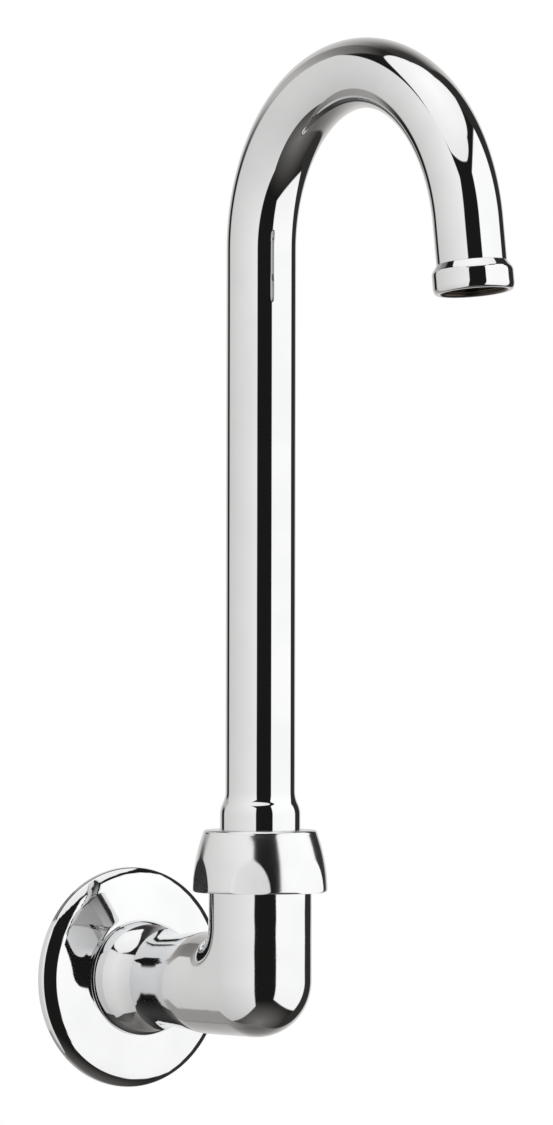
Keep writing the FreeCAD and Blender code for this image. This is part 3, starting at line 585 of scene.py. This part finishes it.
def riser(base, radius, rim):
    """Skin of the riser from the middle of its lower rim, over the flare, to just below the arch."""
    foot = [(rim, TUBE_SEAT, 0), (base, TUBE_SEAT, 0.15)]
    flare = plain(bow((base, FLARE_START), (radius, FLARE_END), 20))
    rise = plain(evenly((radius, FLARE_END + 1), (radius, ARCH_HEIGHT), 40)[:-1])
    return straight(outline(foot + flare + rise), columns=TUBE_COLUMNS, **RISER)


base_rim = BASE_RADIUS - TUBE_WALL / 2
bore = TUBE_RADIUS - TUBE_WALL
tail = outline([
    *plain(evenly((TUBE_RADIUS, -TAIL_LENGTH), (TUBE_RADIUS, -1), 12)[1:]),
    (TUBE_RADIUS, 0, 0.1), (bore, 0, 0.1),
    *plain(evenly((bore, -1), (bore, -TAIL_LENGTH), 4)[:-1]),
])
tube = closed_piece("gooseneck_tube", np.concatenate([
    riser(BASE_RADIUS, TUBE_RADIUS, base_rim), arch(TUBE_RADIUS, ARCH_RINGS),
    straight(tail, columns=TUBE_COLUMNS, **OUTLET),
    arch(bore, BORE_RINGS)[::-1], riser(BASE_RADIUS - TUBE_WALL, bore, base_rim)[::-1][:-1],
]))
tube.data.materials.append(chrome(
    "drawn_chrome", polish=0.018, wave=0.03, wave_height=5e-5, grain=0.0008, grain_height=3e-7,
))
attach(tube, "spout")
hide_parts("spout_tube")

# ---- Outlet collar -----------------------------------------------------------------------------------
# The turned collar is brazed into the tube's end and plated with it. Its mouth is threaded inside for an
# aerator or a spray head.
COLLAR_RADIUS, COLLAR_LENGTH = 10.3, 7.4
COLLAR_CONE, COLLAR_ROUND = 34.0, 2.0       # its top opens at this angle, then rounds into the side
LIP_WIDTH, LIP_HEIGHT = 0.9, 1.8            # and its lower edge is a quarter of an oval
SLEEVE_RADIUS, SLEEVE_BORE, SLEEVE_LENGTH = 7.89, 6.89, 6.0
MOUTH_RADIUS, MOUTH_DEPTH, MOUTH_CHAMFER = 8.3, 6.0, 0.4
MOUTH_PITCH, MOUTH_THREAD = 1.0, 0.5
COLLAR_COLUMNS = 256
quarter_turn = np.radians(np.linspace(0, 90, 16))
cone_height = (COLLAR_RADIUS - TUBE_RADIUS) / math.tan(math.radians(COLLAR_CONE))
collar_lip = np.stack([COLLAR_RADIUS - LIP_WIDTH * (1 - np.cos(quarter_turn)),
                       COLLAR_LENGTH - LIP_HEIGHT * (1 - np.sin(quarter_turn))], axis=1)
thread_start = COLLAR_LENGTH - MOUTH_DEPTH
collar_line = outline([
    (SLEEVE_BORE, -SLEEVE_LENGTH, 0.15), (SLEEVE_RADIUS, -SLEEVE_LENGTH, 0.15), (SLEEVE_RADIUS, 0, 0),
    (TUBE_RADIUS, 0, 0), (COLLAR_RADIUS, cone_height, COLLAR_ROUND), *plain(collar_lip),
    (MOUTH_RADIUS + MOUTH_CHAMFER, COLLAR_LENGTH, 0.15), (MOUTH_RADIUS, COLLAR_LENGTH - MOUTH_CHAMFER, 0.1),
    *plain(evenly((MOUTH_RADIUS, COLLAR_LENGTH - 0.6), (MOUTH_RADIUS, thread_start + 0.1), 72)),
    (MOUTH_RADIUS, thread_start, 0.05), (SLEEVE_BORE, thread_start, 0.2),
], closed=True)
mouth = (collar_line[:, 0] == MOUTH_RADIUS)[:, None]
cut = thread(collar_line, thread_start + 0.1, COLLAR_LENGTH - 0.3, MOUTH_PITCH, MOUTH_THREAD,
             COLLAR_COLUMNS, runout=0.5)
collar_radii = np.where(mouth, cut, collar_line[:, :1])
collar_skin = straight(collar_line, columns=COLLAR_COLUMNS, radii=collar_radii, **OUTLET)
collar = closed_piece("outlet_collar_ring", collar_skin)
# The collar's threaded mouth gets painted shade in its colour (mouth=True).
collar.data.materials.append(chrome(
    "turned_chrome", polish=0.022, wave=0.01, wave_height=2e-5, grain=0.0006, grain_height=6e-7, mouth=True,
))
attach(collar, "spout")
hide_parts("outlet_collar")

# ---- Coupling nut ------------------------------------------------------------------------------------
# The chromed brass union nut holds the swivel down in the elbow. Its side is domed, with six shallow
# flats for a spanner that run out in arches below its rounded top.
NUT_BOTTOM, NUT_TOP, NUT_EDGE = 24.0, 40.0, 0.8
NUT_RADIUS, NUT_SIDE = 17.3, 45.0
NUT_FLAT, NUT_TURN = 16.45, 46.4
NUT_HOLE, NUT_UNDERSIDE, NUT_THREAD = 10.65, 37.2, 12.75
SKIRT_RADIUS, SKIRT_TOP = 13.6, 26.2
FLAT_CROWN = 2000.0         # polishing leaves the flats a little round
FLAT_SOFTNESS = 0.07        # width of the blend between a flat and the domed side
FLAT_DEPTH, FLAT_FADE = 0.9, 1.2    # the flats fade in this far outside the thread, over this width
NUT_COLUMNS = 432


def nut_side(height):
    """Radius of the domed side: an arc that is widest and upright at the nut's foot."""
    return NUT_RADIUS - NUT_SIDE + np.sqrt(NUT_SIDE ** 2 - (height - NUT_BOTTOM) ** 2)


low, high = NUT_BOTTOM + NUT_EDGE, NUT_TOP - NUT_EDGE
side_heights = np.linspace(low, high, 64)
foot_round = np.stack([nut_side(low) - NUT_EDGE * (1 - np.sin(quarter_turn)),
                       low - NUT_EDGE * np.cos(quarter_turn)], axis=1)
top_round = np.stack([nut_side(high) - NUT_EDGE * (1 - np.cos(quarter_turn)),
                      high + NUT_EDGE * np.sin(quarter_turn)], axis=1)
nut_line = outline([
    *plain(foot_round), *plain(np.stack([nut_side(side_heights), side_heights], axis=1)[1:-1]),
    *plain(top_round),
    (NUT_HOLE, NUT_TOP, 0.2), (NUT_HOLE, NUT_UNDERSIDE, 0.15), (NUT_THREAD, NUT_UNDERSIDE, 0.1),
    (NUT_THREAD, SKIRT_TOP, 0.15), (SKIRT_RADIUS, SKIRT_TOP, 0.1), (SKIRT_RADIUS, NUT_BOTTOM, 0.2),
], closed=True)
off_flat = (np.degrees(around(NUT_COLUMNS)) - NUT_TURN + 30) % 60 - 30
off_centre = NUT_FLAT * np.tan(np.radians(off_flat))
to_flat = ((NUT_FLAT - off_centre ** 2 / (2 * FLAT_CROWN)) / np.cos(np.radians(off_flat)))[None, :]
full = nut_line[:, :1]
softened = (full + to_flat - np.sqrt((full - to_flat) ** 2 + FLAT_SOFTNESS ** 2)) / 2
blend = np.clip((full - NUT_THREAD - FLAT_DEPTH) / FLAT_FADE, 0, 1)
nut_radii = full + (softened - full) * blend
nut_skin = straight(nut_line, columns=NUT_COLUMNS, radii=nut_radii, **RISER)
nut = closed_piece("coupling_nut_shell", nut_skin)
nut.data.materials.append(chrome(
    "nut_chrome", polish=0.145, wave=0.009, wave_height=2.5e-5, grain=0.0008, grain_height=1.8e-6,
))
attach(nut, "base")
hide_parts("coupling_nut")

# ---- Studio ------------------------------------------------------------------------------------------
# A pale floor below the spout and a plain white background. Two large soft boxes, one each side of the
# camera, light it, with black between them and behind the right one, and a white ceiling.
VIEW_AZIMUTH, VIEW_ELEVATION, VIEW_ROLL = math.radians(-35.85), math.radians(0.74), math.radians(0.115)
FLOOR_HEIGHT, FLOOR_REACH, FLOOR_FADE = -0.12, 1.15, 0.45
rings, spokes = 24, 96
ring_radius = np.linspace(0.02, FLOOR_REACH, rings)[:, None]
spoke_turn = around(spokes)[None, :]
floor_points = np.stack([ring_radius * np.cos(spoke_turn), ring_radius * np.sin(spoke_turn) + RISER_Y * MM,
                         np.full((rings, spokes), FLOOR_HEIGHT)], axis=-1).reshape(-1, 3)
grid = np.arange(rings * spokes).reshape(rings, spokes)
inner_ring, outer_ring = grid[:-1], grid[1:]
floor_quads = np.stack([inner_ring, outer_ring, np.roll(outer_ring, -1, 1), np.roll(inner_ring, -1, 1)],
                       axis=-1)
floor_mesh = bpy.data.meshes.new("studio_floor")
floor_mesh.from_pydata(floor_points.tolist(), [], floor_quads.reshape(-1, 4).tolist() + [grid[0].tolist()])
floor = bpy.data.objects.new("studio_floor", floor_mesh)
bpy.context.scene.collection.objects.link(floor)
paper = bpy.data.materials.new("pale_paper")
paper.use_nodes = True
paper.node_tree.nodes.clear()
start = Wire(paper.node_tree)
place = start.node("ShaderNodeTexCoord", out="Object")
below_riser = (0, -RISER_Y * MM, -FLOOR_HEIGHT)
centred = start.node("ShaderNodeMapping", None, {"Vector": place, "Location": below_riser})
reach = start.node("ShaderNodeVectorMath", {"operation": "LENGTH"}, {0: centred}, out="Value")
tone = noise(start, place, 0.09, 4.0).mix((0.89, 0.89, 0.88, 1.0), (0.93, 0.93, 0.92, 1.0))
matt = start.node("ShaderNodeBsdfDiffuse", None, {"Color": tone})
clear = start.node("ShaderNodeBsdfTransparent")
fading = reach.rise(FLOOR_REACH - FLOOR_FADE, FLOOR_REACH)
faded = start.node("ShaderNodeMixShader", None, {0: fading, 1: matt, 2: clear})
start.node("ShaderNodeOutputMaterial", None, {"Surface": faded})
floor_mesh.materials.append(paper)
floor.visible_glossy = False

toward_camera = (math.sin(VIEW_AZIMUTH), -math.cos(VIEW_AZIMUTH), 0.0)
camera_right = (math.cos(VIEW_AZIMUTH), math.sin(VIEW_AZIMUTH), 0.0)
world = bpy.data.worlds.new("soft_box_studio")
bpy.context.scene.world = world
world.use_nodes = True
world.node_tree.nodes.clear()
sky = Wire(world.node_tree)
direction = sky.node("ShaderNodeTexCoord", out="Generated")


def along(axis):
    """How far the looked-at direction goes along an axis."""
    pair = {0: direction, 1: axis}
    return sky.node("ShaderNodeVectorMath", {"operation": "DOT_PRODUCT"}, pair, out="Value")


def band(value, low, high, soft):
    """1 between low and high, with soft edges."""
    return value.rise(low - soft, low + soft) * (1.0 - value.rise(high - soft, high + soft))


def ramp_through(value, reach, stops, full):
    """Straight lines through stops of (degrees, level), for angles from -reach to reach. The levels are parts
    of full, and come out as 0 to 1."""
    places = [(angle / (2 * reach) + 0.5, level / full) for angle, level in stops]
    return sky.node("ShaderNodeValToRGB", {"stops": places}, {0: value / (2.0 * reach) + 0.5})


def shade_between(value, low, high, dark, light):
    """Brightness that goes from dark at one angle to light at another, both out of 255."""
    return sky.node("ShaderNodeMapRange", None, {
        "Value": value, "From Min": low, "From Max": high, "To Min": dark / 255, "To Max": light / 255,
    })


def settle(mask, over, base):
    """The base brightness, covered by another where the mask is 1."""
    return base + mask * (over - base)


DEGREES = 180 / math.pi
level_turn = sky.math("ARCTAN2", along(camera_right), along(toward_camera)) * DEGREES
upright_turn = sky.math("ARCSINE", along((0.0, 0.0, 1.0))) * DEGREES

# Walls of the room, as (elevation, brightness out of 255) from the floor up: everywhere else, on the wall
# behind the spout, beside the right soft box, and beside the left one.
FRONT = [(-90, 112), (-72, 90), (-57, 68), (-48, 50), (-38, 31), (46, 31), (58, 40)]
BEHIND = [(-90, 112), (-66, 98), (-48, 120), (-20, 185), (0, 196), (20, 190), (34, 164), (46, 115), (55, 58),
          (70, 50)]
FLAGGED = [(-90, 112), (-72, 90), (-57, 70), (-50, 50), (55, 46), (66, 60)]
SIDE_WALL = [(-90, 112), (-66, 104), (-40, 138), (-14, 150), (0, 172), (18, 168), (33, 122), (45, 90),
             (56, 42)]
BACK_LEFT, BACK_RIGHT = (-152.0, -146.0), (151.0, 158.0)    # level angles where the back wall fades in
SIDE_LEFT, SIDE_RIGHT = -150.0, -122.0
POST_LEFT, POST_RIGHT, POST_LOW, POST_HIGH, POST_SHADE = -143.0, -128.0, -13.0, 9.0, 34
FLAG_LEFT, FLAG_RIGHT = 118.0, 154.0
front, behind, flagged, side_wall = (
    ramp_through(upright_turn, 90.0, stops, 255.0) for stops in (FRONT, BEHIND, FLAGGED, SIDE_WALL))
back_mask = level_turn.rise(*BACK_RIGHT) + (1.0 - level_turn.rise(*BACK_LEFT))
room = settle(back_mask, behind, front)
room = settle(band(level_turn, SIDE_LEFT, SIDE_RIGHT, 3.0), side_wall, room)
post = band(level_turn, POST_LEFT, POST_RIGHT, 1.5) * band(upright_turn, POST_LOW, POST_HIGH, 5.0)
room = settle(post, POST_SHADE / 255, room)
room = settle(band(level_turn, FLAG_LEFT, FLAG_RIGHT, 2.5), flagged, room)


def soft_box(centre, left, right, low, high, shade, room):
    """A flat upright panel that faces the spout from a level angle: on it, a direction lies at
    tan(angle off centre) across, and tan(elevation) / cos(angle off centre) up."""
    off = (level_turn - centre) / DEGREES
    ahead = sky.math("COSINE", off)
    rise = sky.math("TANGENT", upright_turn / DEGREES) / sky.math("MAXIMUM", ahead, 0.02)
    inside = band(level_turn, left, right, BOX_EDGE) * band(rise, low, high, BOX_EDGE / 35)
    return settle(inside * ahead.rise(0.05, 0.1), shade, room)


BOX_EDGE = 1.2              # softness of a box's edges, in degrees
left_shade = shade_between(level_turn, -120.0, -15.0, 199, 228) + (upright_turn / 64.0) * (16 / 255)
right_shade = shade_between(upright_turn, -44.0, 30.0, 242, 253)
room = soft_box(centre=-68.0, left=-125.0, right=-12.0, low=-2.14, high=1.06, shade=left_shade, room=room)
room = soft_box(centre=78.0, left=36.0, right=120.0, low=-0.966, high=1.05, shade=right_shade, room=room)

# The white ceiling starts at this elevation for each level angle, and is lightest straight above.
CEILING_EDGE = [(-180, 69.0), (-166, 69.4), (-150, 66.0), (-120, 54.5), (-90, 49.8), (-68, 48.3), (-25, 39.5),
                (28, 43.7), (68, 53.5), (128, 51.4), (145, 64.8), (180, 69.0)]
ceiling_edge = ramp_through(level_turn, 180.0, CEILING_EDGE, 90.0) * 90.0
ceiling_shade = shade_between(upright_turn, 40.0, 90.0, 232, 250)
room = settle((upright_turn - ceiling_edge).rise(-0.6, 0.6), ceiling_shade, room)

PLATE_SHARE = 0.72          # how much of the light the chrome sends back
light = sky.math("POWER", room, 2.2) / PLATE_SHARE
tinted = room.mix((1.06, 1.0, 0.95, 1.0), (1.0, 0.995, 0.985, 1.0))
colour = sky.node("ShaderNodeVectorMath", {"operation": "SCALE"}, {0: tinted, "Scale": light})
seen = sky.node("ShaderNodeLightPath", out="Is Camera Ray")
sky.node("ShaderNodeOutputWorld", None, {
    "Surface": sky.node("ShaderNodeBackground", None, {"Color": seen.mix(colour, (1.0, 1.0, 1.0, 1.0))}),
})

# ---- Camera ------------------------------------------------------------------------------------------
# It stands well back on a long lens, a little above the level of the spout's middle.
VIEW_DISTANCE, VIEW_LENS = 3.1408, 392.1
VIEW_CENTRE, VIEW_SHIFT = (0, -0.057, 0.1085), 0.00504      # it aims this far to the right of the centre
level_right = Vector(camera_right)
back = Vector((toward_camera[0] * math.cos(VIEW_ELEVATION), toward_camera[1] * math.cos(VIEW_ELEVATION),
               math.sin(VIEW_ELEVATION)))
level_up = back.cross(level_right)
right = level_right * math.cos(VIEW_ROLL) + level_up * math.sin(VIEW_ROLL)
up = level_up * math.cos(VIEW_ROLL) - level_right * math.sin(VIEW_ROLL)
target = Vector(VIEW_CENTRE) + level_right * VIEW_SHIFT
camera = bpy.data.objects.new("camera", bpy.data.cameras.new("camera"))
bpy.context.scene.collection.objects.link(camera)
turned = Matrix((right, up, back)).transposed().to_4x4()
camera.matrix_world = Matrix.Translation(target + back * VIEW_DISTANCE) @ turned
camera.data.sensor_fit = "VERTICAL"
camera.data.sensor_height = 36.0
camera.data.lens = VIEW_LENS
camera.data.clip_start, camera.data.clip_end = 0.1, 50.0
bpy.context.scene.camera = camera
bpy.context.scene.view_settings.view_transform = "Standard"
